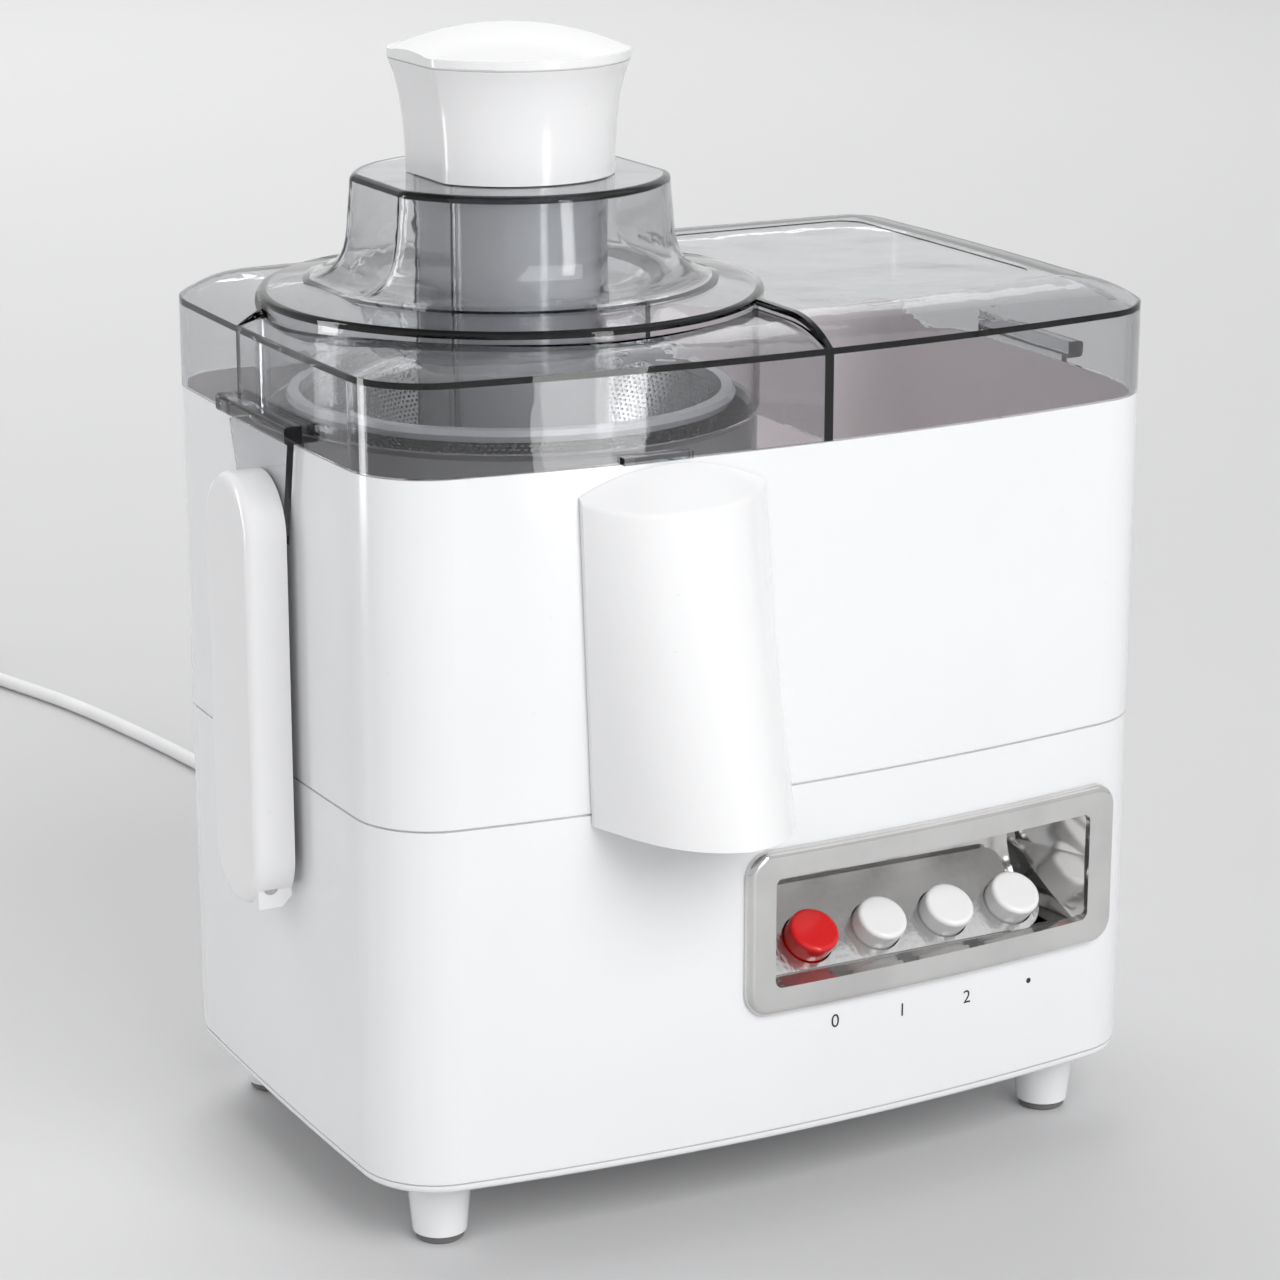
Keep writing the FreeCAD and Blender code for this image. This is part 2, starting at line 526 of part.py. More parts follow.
def lid():
    t = WALL
    low = LID_LOW - 1
    rise = LID_TOP - LID_CREASE
    corner = box(-200, -200, 290, STEP_X, STEP_Y, 330)
    outer = domed_block(0, 0, rise).cut(corner).fuse(domed_block(0, 0, CORNER_RISE).common(corner))
    brim = dome(CHAMBER_R, 0, LID_LOW)
    edges = [e for e in rim_edges(brim, DOME_LOW) if e.BoundBox.XLength > 1.9 * CHAMBER_R]
    brim = brim.makeFillet(1.6, edges)
    flare = collar(0, FLANGE)
    flare = flare.makeFillet(2.4, rim_edges(flare, FLANGE))
    outer = outer.fuse(brim.fuse(flare))
    ring = rod(CHAMBER_R, low, 330)
    quadrant = box(-200, -200, low - 5, STEP_X, STEP_Y, 330)
    grown = box(-200, -200, low - 5, STEP_X + CHAMBER_T, STEP_Y + CHAMBER_T, 330)
    high_room = domed_block(t, t, rise).cut([grown, ring])
    low_room = domed_block(t, t, CORNER_RISE).common(quadrant).cut(ring)
    chamber = dome(CHAMBER_R - CHAMBER_T, 2.8, low).fuse(collar(-t, FLANGE - 2.8))
    whole = outer.cut(high_room).cut(low_room).cut(chamber)
    pass_way = Part.makeCylinder(CHAMBER_R + 1, 36.0, V(AXIS_X, 0, low), Z_AXIS, 56.0)
    pass_way.rotate(V(AXIS_X, 0, 0), Z_AXIS, -28.0)
    whole = whole.cut(pass_way)
    feed = flat_sided_prism(33.0, 29.0, 252.0, FLANGE - 1.0).cut(flat_sided_prism(30.5, 26.5, 240.0, 360.0))
    whole = whole.cut(flat_sided_prism(30.5, 26.5, 300.0, 360.0)).fuse(feed)
    panel = box(34, -62, LID_TOP - 0.3, 118, 64, LID_TOP + 1)
    panel = panel.makeFillet(10, upright(panel))
    lugs = [side_lug(), mirrored(side_lug()), box(-69, -108.6, 269.0, -44, -103.0, 271.4)]
    return whole.cut(panel).fuse(lugs).removeSplitter()


def side_lug():
    # a grip bar along the lid's edge, with a tongue that hangs behind the clamp
    bar = box(-156.0, -37.0, 270.5, -147.6, 23.0, 276.5)
    bar = bar.makeFillet(1.4, [e for e in bar.Edges if abs(e.Vertexes[0].Y - e.Vertexes[1].Y) > 50
                               and e.BoundBox.XMax < -150])
    points = [V(-152.8, 20.0, 271), V(-152.8, -32.0, 271), V(-152.8, -25.0, 234), V(-152.8, 8.0, 234)]
    tongue = Part.Face(Part.makePolygon(points + points[:1])).extrude(V(2.4, 0, 0))
    return fused([bar, tongue])


def pusher_parts():
    rows = ((347.8, 35.6, 31.8), (358, 35.9, 32.1), (368, 36.7, 32.9), (378, 38.4, 34.6),
            (386.0, 41.0, 37.0))
    head = flat_sided_loft(rows, 8.0)
    inner = [(z + (0.0 if i else 2.4), r - 2.4, h - 2.4) for i, (z, r, h) in enumerate(rows)]
    hollow = flat_sided_loft(inner, 6.5)
    stem = flat_sided_prism(29.9, 25.9, 258.0, 348.0, 5.0)
    stem = stem.cut(flat_sided_prism(27.6, 23.6, 260.4, 351.0, 4.0))
    base = head.cut(hollow.common(box(-200, -200, 350.2, 200, 200, 400)))
    base = base.cut(flat_sided_prism(27.6, 23.6, 300, 352, 4.0)).fuse(stem).removeSplitter()
    save("pusher_body", base)
    rim = flat_sided_prism(41.2, 37.2, 386.0, 389.4, 8.0)
    rim = rim.makeFillet(0.9, rim_edges(rim, 386.0))
    crown = Part.makeSphere(100.0, V(AXIS_X, 0, 297.6))
    crown = crown.common(flat_sided_prism(41.2, 37.2, 389.4, 400, 8.0))
    lip = flat_sided_prism(35.8, 31.8, 382.0, 386.6, 6.0).cut(flat_sided_prism(34.2, 30.2, 380, 386, 5.0))
    cap = fused([rim, crown, lip])
    save("pusher_cap", cap)


# ---- clamps -----------------------------------------------------------------------------------

def stadium(r, x0, x1, low, high):
    block = box(x0, CLAMP_Y - r, low + r, x1, CLAMP_Y + r, high - r)
    ends = [Part.makeCylinder(r, x1 - x0, V(x0, CLAMP_Y, z), V(1, 0, 0)) for z in (low + r, high - r)]
    return fused([block] + ends)


def clamp_left():
    body = stadium(CLAMP_R, -CLAMP_OUT, -CLAMP_IN, CLAMP_LOW, CLAMP_TOP)
    outside = [e for e in body.Edges if abs(e.BoundBox.XMax + CLAMP_OUT) < 1e-4]
    body = body.makeFillet(3.5, outside)
    room = stadium(CLAMP_R - 2.4, -CLAMP_OUT + 2.4, -CLAMP_IN + 1, CLAMP_LOW + 2.4, CLAMP_TOP - 2.4)
    ears = [box(-CLAMP_OUT + 2, y, 108.5, -CLAMP_IN, y + 5.0, 126.0)
            for y in (CLAMP_Y - 15.6, CLAMP_Y + 10.6)]
    nib = box(-CLAMP_OUT + 2, CLAMP_Y - 12, 240.0, -CLAMP_IN - 0.2, CLAMP_Y + 12, 242.5)
    ribs = [box(-CLAMP_OUT + 2, CLAMP_Y + y, 126.0, -158.0, CLAMP_Y + y + 1.8, 240.0) for y in (-8.0, 6.2)]
    notch = box(-CLAMP_OUT + 2.4, CLAMP_Y - LUG_HALF - 0.5, CLAMP_LOW - 1, -CLAMP_IN + 1,
                CLAMP_Y + LUG_HALF + 0.5, PIN_Z)
    whole = fused([body.cut(room)] + ears + [nib] + ribs).cut(notch)
    heel = Part.makePolygon([V(-CLAMP_IN + 1, -40, CLAMP_LOW - 1), V(-CLAMP_IN + 1, -40, CLAMP_LOW + 6),
                             V(-CLAMP_IN - 6, -40, CLAMP_LOW - 1), V(-CLAMP_IN + 1, -40, CLAMP_LOW - 1)])
    heel = Part.Face(heel).extrude(V(0, 60, 0))
    return whole.cut([heel, pin_rod(-1, PIN_R + 0.06)])


# ---- cord -------------------------------------------------------------------------------------

def cord_path(points):
    # straight runs joined by tangent arcs, as large as the shorter run of each turn allows
    edges, at, radii = [], points[0], []
    for before, here, after in zip(points, points[1:], points[2:]):
        into, out = here - before, after - here
        turn = into.getAngle(out)
        radius = 0.45 * min(into.Length, out.Length) / math.tan(0.5 * turn)
        radii.append(round(radius, 1))
        cut = radius * math.tan(0.5 * turn)
        into.normalize()
        out.normalize()
        a, b = here - into * cut, here + out * cut
        inward = out - into
        inward.normalize()
        middle = here + inward * (radius / math.cos(0.5 * turn) - radius)
        edges.append(Part.LineSegment(at, a).toShape())
        edges.append(Part.Arc(a, middle, b).toShape())
        at = b
    edges.append(Part.LineSegment(at, points[-1]).toShape())
    print("cord radii", radii)
    return Part.Wire(edges)


def cord_parts():
    path = cord_path(CORD_ROUTE)
    start = CORD_ROUTE[1] - CORD_ROUTE[0]
    ring = Part.Wire([Part.makeCircle(0.5 * CORD_D, CORD_ROUTE[0], start)])
    cord = path.makePipeShell([ring], True, False)
    print(f"cord tube {path.Length:.1f} mm, volume {cord.Volume:.0f},"
          f" section times length {math.pi * (0.5 * CORD_D) ** 2 * path.Length:.0f}")
    save("power_cord", cord)
    profile = [(COIL_R + x * COIL_THICK, z * COIL_H) for x, z in
               ((-0.36, 0), (0.36, 0), (0.5, 0.14), (0.5, 0.86), (0.36, 1), (-0.36, 1), (-0.5, 0.86),
                 (-0.5, 0.14))]
    coil = turned(profile, COIL_X, COIL_Y)
    zone = box(COIL_X - 60, COIL_Y - 5, 0, COIL_X, COIL_Y + 5, 20)
    middle = 0.5 * COIL_H
    inner = [(COIL_R + (r - COIL_R) * 0.84, middle + (z - middle) * 0.84) for r, z in profile]
    core = turned(inner, COIL_X, COIL_Y)
    tie = coil.common(zone).cut(core)
    save("cord_coil", coil.cut(tie))
    save("cord_tie", tie)
    plug = box(-15, -10, 0, 17, 10, 15)
    plug = plug.makeFillet(4, [e for e in plug.Edges if abs(e.Vertexes[0].X - e.Vertexes[1].X) > 10
                               and e.BoundBox.ZMin > 10])
    nose = Part.makeCone(6.5, 4.2, 16, V(-15, 0, 7), V(-1, 0, 0))
    pins = [Part.makeCylinder(2.0, 19, V(16, y, 7.5), V(1, 0, 0)) for y in (-7.0, 7.0)]
    plug = fused([plug, nose] + pins)
    plug.rotate(V(0, 0, 0), Z_AXIS, 75)
    plug.translate(V(COIL_X + 24, COIL_Y + 18, COIL_H))
    save("mains_plug", plug)
    gland = fused([Part.makeCone(6.4, 4.4, 24, V(-20, 99, 45), V(0, 1, 0)),
                   Part.makeCylinder(6.5, 9, V(-20, 90, 45), V(0, 1, 0)),
                   Part.makeCylinder(9.0, 2.0, V(-20, 92.5, 45), V(0, 1, 0))])
    grooves = [Part.makeCylinder(9, 1.6, V(-20, y, 45), V(0, 1, 0)).cut(
        Part.makeCylinder(3.9, 1.6, V(-20, y, 45), V(0, 1, 0))) for y in (103, 107, 111, 115, 119)]
    save("strain_relief", gland.cut(grooves))


# ---- inner electrics --------------------------------------------------------------------------

def electric_parts():
    save("circuit_breaker", fused([box(20, 10, 36, 52, 30, 60), box(28, 16, 60, 44, 24, 66)]))
    save("rectifier_board", fused([box(66, -10, 36, 116, 50, 38), box(74, 0, 38, 92, 14, 50),
                                   rod(7, 38, 58, 102, 34), rod(4, 38, 46, 84, 36)]))
    save("interlock_switch", fused([box(-146.5, -22, 128, -134, 2, 146),
                                    box(-142, -14, 146, -139, -8, 149.4)]))


def main():
    os.makedirs("parts", exist_ok=True)
    save("base_housing", base_housing())
    save("bottom_cover", bottom_cover())
    save("foot_pads", foot_pads())
    save("base_screws", screws(SCREW_SPOTS, 25.0, 27.4, 44.0))
    bezel = control_bezel()
    save("control_bezel", bezel)
    save("button_plate", button_plate(bezel))
    for name, x in zip(BUTTON_NAMES, BUTTON_X):
        save(name, button(x))
    save("switch_body", switch_body())
    save("button_springs", button_springs())
    motor_parts()
    spinner_parts()
    save("pulp_container", pulp_container())
    save("juice_bowl", juice_bowl())
    save("juice_spout", juice_spout())
    save("lid", lid())
    pusher_parts()
    left = clamp_left()
    save("clamp_left", left)
    save("clamp_right", mirrored(left))
    save("clamp_pins", Part.makeCompound([pin_rod(-1, PIN_R), pin_rod(1, PIN_R)]))
    cord_parts()
    electric_parts()


main()
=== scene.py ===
import json
import math

import bmesh
import bpy
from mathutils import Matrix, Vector


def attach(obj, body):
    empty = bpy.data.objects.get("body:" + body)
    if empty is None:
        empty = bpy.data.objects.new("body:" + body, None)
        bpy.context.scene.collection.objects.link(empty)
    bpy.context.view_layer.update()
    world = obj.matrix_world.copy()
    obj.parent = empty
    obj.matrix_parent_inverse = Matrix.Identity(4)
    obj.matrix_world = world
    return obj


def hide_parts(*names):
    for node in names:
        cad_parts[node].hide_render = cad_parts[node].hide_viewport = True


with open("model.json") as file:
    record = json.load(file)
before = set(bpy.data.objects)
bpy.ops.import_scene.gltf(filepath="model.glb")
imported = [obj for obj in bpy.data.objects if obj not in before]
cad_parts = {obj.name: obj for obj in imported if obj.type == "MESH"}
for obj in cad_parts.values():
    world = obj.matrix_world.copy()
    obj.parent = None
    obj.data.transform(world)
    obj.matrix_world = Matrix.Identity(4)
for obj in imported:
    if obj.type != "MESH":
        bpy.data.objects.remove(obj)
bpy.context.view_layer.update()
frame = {"nodes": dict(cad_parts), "record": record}
nodes = frame["nodes"]
mm = 0.001
casingMiddle = 27 * mm                  # the casing's centre line, along Y
motorAxis = (-56 * mm, casingMiddle)    # the upright axis of the motor and basket
print("frame loaded:", len(nodes), "nodes")


# Shader maths: a Wire is one value in a material, and sums written with it add Math nodes.

class Wire:
    def __init__(self, finish, socket):
        self.finish = finish
        self.socket = socket

    def maths(self, operation, *terms):
        return self.finish.add("ShaderNodeMath", {"operation": operation}, dict(enumerate(terms)))

    def __add__(self, other):
        return self.maths("ADD", self, other)

    def __radd__(self, other):
        return self.maths("ADD", other, self)

    def __sub__(self, other):
        return self.maths("SUBTRACT", self, other)

    def __rsub__(self, other):
        return self.maths("SUBTRACT", other, self)

    def __mul__(self, other):
        return self.maths("MULTIPLY", self, other)

    def __rmul__(self, other):
        return self.maths("MULTIPLY", other, self)

    def __truediv__(self, other):
        return self.maths("DIVIDE", self, other)

    def __rtruediv__(self, other):
        return self.maths("DIVIDE", other, self)

    def __gt__(self, other):
        return self.maths("GREATER_THAN", self, other)

    def __lt__(self, other):
        return self.maths("LESS_THAN", self, other)

    def root(self):
        return self.maths("SQRT", self)

    def wave(self):
        return self.maths("SINE", self)

    def fraction(self):
        return self.maths("FRACT", self)

    def step(self, low, high):
        # 0 below low, 1 above high, smooth between
        return self.finish.add("ShaderNodeMapRange", {"interpolation_type": "SMOOTHSTEP"},
                               {"Value": self, "From Min": low, "From Max": high})


class Graph:
    # a tree of shader nodes, with one way to add any node
    def __init__(self, tree):
        self.tree = tree

    def add(self, kind, settings=None, inputs=None, output=0):
        made = self.tree.nodes.new(kind)
        for key, value in (settings or {}).items():
            if key == "stops":
                self.setStops(made.color_ramp, value)
            else:
                setattr(made, key, value)
        for key, value in (inputs or {}).items():
            if isinstance(value, Wire):
                self.tree.links.new(value.socket, made.inputs[key])
            else:
                made.inputs[key].default_value = value
        return Wire(self, made.outputs[output])

    def setStops(self, ramp, stops):
        while len(ramp.elements) < len(stops):
            ramp.elements.new(0.5)
        for element, (place, colour) in zip(ramp.elements, stops):
            element.position = place
            element.color = colour

    def split(self, vector):
        parts = self.add("ShaderNodeSeparateXYZ", inputs={0: vector})
        return [Wire(self, socket) for socket in parts.socket.node.outputs]


class Finish(Graph):
    # a material being made from a Principled shader
    def __init__(self, name, fixed):
        self.material = bpy.data.materials.new(name)
        self.material.use_nodes = True
        super().__init__(self.material.node_tree)
        self.shader = self.tree.nodes["Principled BSDF"]
        for key, value in fixed.items():
            self.shader.inputs[key].default_value = value

    def feed(self, key, value):
        self.tree.links.new(value.socket, self.shader.inputs[key])

    def place(self):
        return self.add("ShaderNodeTexCoord", output="Object")

    def height(self):
        return self.split(self.place())[2]

    def stretched(self, x, y, z):
        # the piece's own coordinates, scaled along each axis
        return self.add("ShaderNodeVectorMath", {"operation": "MULTIPLY"}, {0: self.place(), 1: (x, y, z)})

    def noise(self, scale, detail=2.0, rough=0.5, vector=None):
        return self.add("ShaderNodeTexNoise", None, {"Vector": vector or self.place(), "Scale": scale,
                                                     "Detail": detail, "Roughness": rough})

    def cells(self, scale, vector=None, feature="F1", output="Distance"):
        return self.add("ShaderNodeTexVoronoi", {"feature": feature},
                        {"Vector": vector or self.place(), "Scale": scale}, output)

    def mix(self, share, first, second):
        return self.add("ShaderNodeMix", {"data_type": "RGBA"}, {0: share, 6: first, 7: second}, 2)

    def bump(self, *layers):
        # each layer is (height from 0 to 1, depth in metres)
        normal = None
        for height, depth in layers:
            inputs = {"Height": height, "Distance": depth, "Strength": 1.0}
            if normal:
                inputs["Normal"] = normal
            normal = self.add("ShaderNodeBump", None, inputs)
        self.feed("Normal", normal)
        return self


def grey(level, warm=0.0):
    return (level * (1 + warm), level, level * (1 - warm), 1)


# Plastics

mouldings = {
    "whiteBody": {"colour": (0.852, 0.858, 0.868, 1), "rough": 0.15},
    "whitePart": {"colour": (0.868, 0.868, 0.872, 1), "rough": 0.17},
    "whiteButton": {"colour": (0.9, 0.9, 0.9, 1), "rough": 0.14},
    "greyBowl": {"colour": (0.2, 0.2, 0.205, 1), "rough": 0.12},
    "redButton": {"colour": (0.72, 0.012, 0.014, 1), "rough": 0.12},
}


def mouldedPlastic(name, colour, rough):
    # glossy moulding: faint flow marks, a fine skin texture, and a few dark specks
    finish = Finish(name, {"IOR": 1.5, "Coat Weight": 0.25, "Coat Roughness": 0.06})
    flow = finish.noise(7.0, 3.0)
    speck = finish.cells(95.0) < 0.018
    shade = tuple(0.965 * part for part in colour[:3]) + (1,)
    spot = tuple(0.55 * part for part in colour[:3]) + (1,)
    tone = finish.mix(flow.step(0.35, 0.75), colour, shade)
    finish.feed("Base Color", finish.mix(speck * 0.6, tone, spot))
    finish.feed("Roughness", finish.noise(60.0, 4.0) * 0.08 + (rough - 0.04))
    return finish.bump((flow, 0.0005), (finish.noise(1500.0, 1.0), 0.0000035))


def binPlastic():
    # thinner white moulding: its inward faces are painted pink for the light that comes through its walls
    finish = mouldedPlastic("binPlastic", **mouldings["whiteBody"])
    side, across = finish.split(finish.place())[:2]
    faceSide, faceAcross = finish.split(finish.add("ShaderNodeTexCoord", output="Normal"))[:2]
    outward = faceSide * side + faceAcross * (across - casingMiddle)
    walls = outward < inside["turn"]
    moulded = Wire(finish, finish.shader.inputs["Base Color"].links[0].from_socket)
    # painted glow: faces turned inward take the pink of light coming through the walls
    paintedGlow = finish.mix(walls, (1, 1, 1, 1), inside["pink"])
    blend = {"data_type": "RGBA", "blend_type": "MULTIPLY"}
    finish.feed("Base Color", finish.add("ShaderNodeMix", blend, {0: 1.0, 6: moulded, 7: paintedGlow}, 2))
    return finish


# painted glow: how far a face turns inward, and the pink painted there for light through the walls
inside = {"turn": 4 * mm, "pink": (0.97, 0.885, 0.885, 1)}


# Lid

smoke = {"absorb": (0.30, 0.315, 0.34, 1), "density": 105.0, "rough": 0.0, "ior": 1.5,
         "face": (0.985, 0.987, 0.99, 1), "pass": (0.80, 0.805, 0.815, 1)}


def smokyClear():
    # solid clear grey plastic: the longer the way through it, the darker
    finish = Finish("smokyClear", {"Transmission Weight": 1.0, "IOR": smoke["ior"],
                                   "Roughness": smoke["rough"], "Base Color": smoke["face"]})
    finish.bump((finish.noise(16.0, 2.0), 0.0004), (finish.noise(90.0, 2.0), 0.00002))
    shadow = finish.add("ShaderNodeLightPath", output="Is Shadow Ray")
    through = finish.add("ShaderNodeBsdfTransparent", None, {"Color": smoke["pass"]})
    glassy = Wire(finish, finish.shader.outputs[0])
    surface = finish.add("ShaderNodeMixShader", None, {0: shadow, 1: glassy, 2: through})
    body = finish.add("ShaderNodeVolumeAbsorption", None,
                      {"Color": smoke["absorb"], "Density": smoke["density"]})
    end = finish.tree.nodes["Material Output"]
    finish.tree.links.new(surface.socket, end.inputs["Surface"])
    finish.tree.links.new(body.socket, end.inputs["Volume"])
    return finish


# Metals

metals = {
    "chromePlate": {"colour": grey(0.74, 0.012), "rough": 0.085, "peel": 0.0003, "grain": 0.000002},
    "screwSteel": {"colour": grey(0.52, 0.02), "rough": 0.3, "peel": 0.0, "grain": 0.00001},
    "shaftSteel": {"colour": grey(0.6), "rough": 0.22, "peel": 0.0, "grain": 0.00001},
    "springSteel": {"colour": grey(0.5, 0.02), "rough": 0.28, "peel": 0.0, "grain": 0.000005},
    "bracketSheet": {"colour": grey(0.62), "rough": 0.35, "peel": 0.0, "grain": 0.00002},
    "sinteredBronze": {"colour": (0.52, 0.34, 0.17, 1), "rough": 0.42, "peel": 0.0, "grain": 0.00004},
}


metalShare = 0.86        # the rest is a thin haze that keeps deep corners from going black


def plainMetal(name, colour, rough, peel, grain):
    finish = Finish(name, {"Metallic": metalShare})
    cloud = finish.noise(40.0, 4.0)
    dull = tuple(0.86 * part for part in colour[:3]) + (1,)
    finish.feed("Base Color", finish.mix(cloud.step(0.3, 0.8), colour, dull))
    finish.feed("Roughness", finish.noise(220.0, 3.0) * 0.06 + (rough - 0.03))
    return finish.bump((finish.noise(14.0, 1.0), peel), (finish.noise(2600.0, 2.0), grain))


plate = {"colour": grey(0.8, 0.006), "rough": 0.17, "dimple": 240.0, "depth": 0.00022,
         "smoothFrom": 88 * mm, "smoothTo": 100 * mm}


def texturedPlate():
    # plated sheet with a fine uneven dimple, smoother towards its top
    finish = Finish("texturedPlate", {"Metallic": 1.0})
    up = finish.height()
    dimple = finish.noise(plate["dimple"], 2.0, 0.6, finish.stretched(1.6, 1.0, 0.6))
    upper = up.step(plate["smoothFrom"], plate["smoothTo"])
    finish.feed("Base Color", finish.mix(finish.noise(50.0, 3.0), plate["colour"], grey(0.7)))
    finish.feed("Roughness", finish.noise(500.0, 3.0) * 0.1 + plate["rough"])
    return finish.bump((dimple * (1 - 0.8 * upper), plate["depth"]),
                       (finish.noise(900.0, 2.0, 0.5, finish.stretched(0.08, 1.0, 3.0)), 0.00001))


sheetThick = 1.0 * mm


def lamination():
    # stacked sheets show as fine lines round the stack
    finish = Finish("lamination", {"Metallic": 1.0})
    up = finish.height()
    line = (up * (2 * math.pi / sheetThick)).wave() * 0.5 + 0.5
    finish.feed("Base Color", finish.mix(line, grey(0.16), grey(0.3)))
    finish.feed("Roughness", finish.noise(300.0, 3.0) * 0.25 + 0.35)
    return finish.bump((line, 0.00012))


wireWidth = 0.9 * mm


def woundCopper():
    # enamelled wire, laid turn beside turn
    finish = Finish("woundCopper", {"Metallic": 0.85, "Coat Weight": 0.5, "Coat Roughness": 0.12})
    side, across, up = finish.split(finish.place())
    out, over = side - motorAxis[0], across - motorAxis[1]
    reach = out * out + over * over
    turn = ((up + reach.root()) * (2 * math.pi / wireWidth)).wave() * 0.5 + 0.5
    finish.feed("Base Color", finish.mix(turn, (0.3, 0.09, 0.03, 1), (0.72, 0.3, 0.12, 1)))
    finish.feed("Roughness", finish.noise(400.0, 2.0) * 0.15 + 0.25)
    return finish.bump((turn, 0.0003))


# holes round one row, distance between rows, hole radius as a share of that, and the pierced height
sieve = {"around": 190.0, "pitch": 1.5 * mm, "hole": 0.30, "low": 237.2 * mm, "high": 269.5 * mm}


def perforatedSteel():
    # stainless sheet pierced all over with small round holes in staggered rows
    finish = Finish("perforatedSteel", {"Metallic": 1.0})
    side, across, up = finish.split(finish.place())
    out, over = side - motorAxis[0], across - motorAxis[1]
    angle = over.maths("ARCTAN2", over, out)
    row = up / sieve["pitch"]
    shift = (row * 0.5).fraction() > 0.5
    along = (angle * (sieve["around"] / (2 * math.pi)) + shift * 0.5).fraction() - 0.5
    above = row.fraction() - 0.5
    hole = (along * along + above * above) < sieve["hole"] ** 2
    wall = (up > sieve["low"]) * (up < sieve["high"])
    finish.feed("Alpha", 1 - hole * wall)
    finish.feed("Base Color", finish.mix(finish.noise(90.0, 3.0), grey(0.66), grey(0.56)))
    finish.feed("Roughness", finish.noise(300.0, 2.0) * 0.12 + 0.2)
    return finish.bump((finish.noise(700.0, 2.0), 0.00002))


# Matt things

mattThings = {
    "footRubber": {"colour": grey(0.14), "rough": 0.55, "grain": 900.0, "depth": 0.00008, "sheen": 0.1},
    "darkPlastic": {"colour": grey(0.045), "rough": 0.4, "grain": 1400.0, "depth": 0.00003, "sheen": 0.0},
    "pressedCarbon": {"colour": grey(0.03), "rough": 0.6, "grain": 2200.0, "depth": 0.00005, "sheen": 0.0},
    "cordWhite": {"colour": grey(0.83), "rough": 0.38, "grain": 500.0, "depth": 0.00003, "sheen": 0.0},
    "tieBlack": {"colour": grey(0.035), "rough": 0.45, "grain": 1200.0, "depth": 0.00006, "sheen": 0.0},
    "legendInk": {"colour": grey(0.022), "rough": 0.42, "grain": 3000.0, "depth": 0.00001, "sheen": 0.0},
}


def mattThing(name, colour, rough, grain, depth, sheen):
    finish = Finish(name, {"Sheen Weight": sheen, "IOR": 1.46})
    worn = tuple(min(1.0, 1.25 * part + 0.004) for part in colour[:3]) + (1,)
    finish.feed("Base Color", finish.mix(finish.noise(35.0, 4.0).step(0.45, 0.9), colour, worn))
    finish.feed("Roughness", finish.noise(140.0, 3.0) * 0.14 + (rough - 0.07))
    return finish.bump((finish.noise(grain, 3.0), depth))


boardTop = 38.3 * mm


def circuitBoard():
    # green lacquer over copper tracks
    finish = Finish("circuitBoard", {"Coat Weight": 0.4, "Coat Roughness": 0.2})
    track = finish.cells(190.0, finish.stretched(1.0, 0.4, 1.0), "DISTANCE_TO_EDGE") < 0.06
    part = finish.height() > boardTop
    board = finish.mix(track, (0.016, 0.11, 0.035, 1), (0.07, 0.24, 0.08, 1))
    finish.feed("Base Color", finish.mix(part, board, grey(0.05)))
    finish.feed("Roughness", finish.noise(200.0) * 0.2 + 0.25)
    return finish.bump((track, 0.00005))


finishes = {name: mouldedPlastic(name, **values) for name, values in mouldings.items()}
finishes.update({name: plainMetal(name, **values) for name, values in metals.items()})
finishes.update({name: mattThing(name, **values) for name, values in mattThings.items()})
finishes.update({"binPlastic": binPlastic(), "smokyClear": smokyClear(), "texturedPlate": texturedPlate(),
                 "lamination": lamination(), "woundCopper": woundCopper(),
                 "perforatedSteel": perforatedSteel(), "circuitBoard": circuitBoard()})

# which finish each of the record's slots takes
slotFinish = {
    "white_body": "whiteBody", "white_part": "whitePart", "pink_white": "binPlastic",
    "smoky_clear": "smokyClear", "chrome_plate": "chromePlate", "brushed_plate": "texturedPlate",
    "red_button": "redButton", "white_button": "whiteButton", "foot_rubber": "footRubber",
    "screw_steel": "screwSteel", "shaft_steel": "shaftSteel", "spring_steel": "springSteel",
    "mesh_steel": "perforatedSteel", "lamination": "lamination", "copper": "woundCopper",
    "bronze": "sinteredBronze", "bracket": "bracketSheet", "carbon": "pressedCarbon",
    "dark_plastic": "darkPlastic", "board_green": "circuitBoard", "cord_white": "cordWhite",
    "tie_black": "tieBlack",
}


def paint(piece, finishName):
    piece.data.materials.clear()
    piece.data.materials.append(finishes[finishName].material)


# nodes that look unlike the rest of their slot
nodeFinish = {"juice_bowl": "greyBowl"}


def paintNodes():
    for part in frame["record"]["subparts"]:
        name = nodeFinish.get(part["node"], slotFinish[part["material_slot"]])
        for slot in nodes[part["node"]].material_slots:
            slot.material = finishes[name].material


paintNodes()
print("finishes made:", len(finishes))


# Camera

lookFrom = {"place": (-0.5979, -1.0956, 0.5389), "down": 15.97, "turn": -27.79, "lens": 103.84}


def addCamera():
    camera = bpy.data.objects.new("viewCamera", bpy.data.cameras.new("viewCamera"))
    camera.data.sensor_width = 36.0
    camera.data.lens = lookFrom["lens"]
    camera.location = lookFrom["place"]
    camera.rotation_euler = (math.radians(90 - lookFrom["down"]), 0, math.radians(lookFrom["turn"]))
    bpy.context.collection.objects.link(camera)
    bpy.context.scene.camera = camera


addCamera()


# Mains lead

